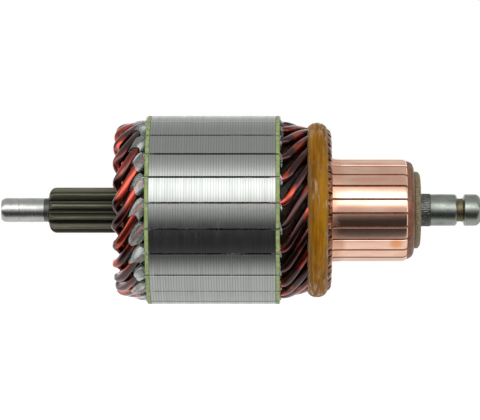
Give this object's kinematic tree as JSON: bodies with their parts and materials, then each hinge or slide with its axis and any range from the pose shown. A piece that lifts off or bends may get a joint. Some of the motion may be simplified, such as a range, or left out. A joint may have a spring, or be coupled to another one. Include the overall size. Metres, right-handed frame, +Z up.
{
  "type": "motor armature",
  "caption": "Wound rotor of a small geared starter motor: slotted laminated core, formed copper coils, barrel commutator and a steel shaft with an integral sun pinion.",
  "frame": {"origin": "on the shaft's axis, in the middle of the drive end journal", "axes": "+X along the shaft from the drive end to the commutator end, +Z up, +Y across"},
  "size_m": [0.1399, 0.055, 0.055],
  "materials": {
    "shaft_steel": "ground journals, dark phosphated pinion",
    "lamination_steel": "turned lamination edges, satin",
    "green_fibre": "matte pressed fibre",
    "clear_film": "clear glossy film",
    "enamelled_copper": "dark red enamel, glossy",
    "bar_copper": "turned bare copper",
    "brown_phenolic": "moulded, semi matte",
    "tan_fibre": "matte pressed fibre",
    "amber_resin": "glossy resin over wound cord"
  },
  "bodies": {
    "root": {"shaft": "shaft_steel", "core_stack": "lamination_steel", "drive_end_fibre": "green_fibre", "commutator_end_fibre": "green_fibre", "slot_liners": "clear_film", "hairpin_01": "enamelled_copper", "hairpin_02": "enamelled_copper", "hairpin_03": "enamelled_copper", "hairpin_04": "enamelled_copper", "hairpin_05": "enamelled_copper", "hairpin_06": "enamelled_copper", "hairpin_07": "enamelled_copper", "hairpin_08": "enamelled_copper", "hairpin_09": "enamelled_copper", "hairpin_10": "enamelled_copper", "hairpin_11": "enamelled_copper", "hairpin_12": "enamelled_copper", "hairpin_13": "enamelled_copper", "hairpin_14": "enamelled_copper", "hairpin_15": "enamelled_copper", "hairpin_16": "enamelled_copper", "hairpin_17": "enamelled_copper", "hairpin_18": "enamelled_copper", "hairpin_19": "enamelled_copper", "hairpin_20": "enamelled_copper", "hairpin_21": "enamelled_copper", "hairpin_22": "enamelled_copper", "hairpin_23": "enamelled_copper", "commutator_bar_01": "bar_copper", "commutator_bar_02": "bar_copper", "commutator_bar_03": "bar_copper", "commutator_bar_04": "bar_copper", "commutator_bar_05": "bar_copper", "commutator_bar_06": "bar_copper", "commutator_bar_07": "bar_copper", "commutator_bar_08": "bar_copper", "commutator_bar_09": "bar_copper", "commutator_bar_10": "bar_copper", "commutator_bar_11": "bar_copper", "commutator_bar_12": "bar_copper", "commutator_bar_13": "bar_copper", "commutator_bar_14": "bar_copper", "commutator_bar_15": "bar_copper", "commutator_bar_16": "bar_copper", "commutator_bar_17": "bar_copper", "commutator_bar_18": "bar_copper", "commutator_bar_19": "bar_copper", "commutator_bar_20": "bar_copper", "commutator_bar_21": "bar_copper", "commutator_bar_22": "bar_copper", "commutator_bar_23": "bar_copper", "commutator_moulding": "brown_phenolic", "commutator_end_washer": "tan_fibre", "binding_band": "amber_resin"}
  },
  "joints": []
}
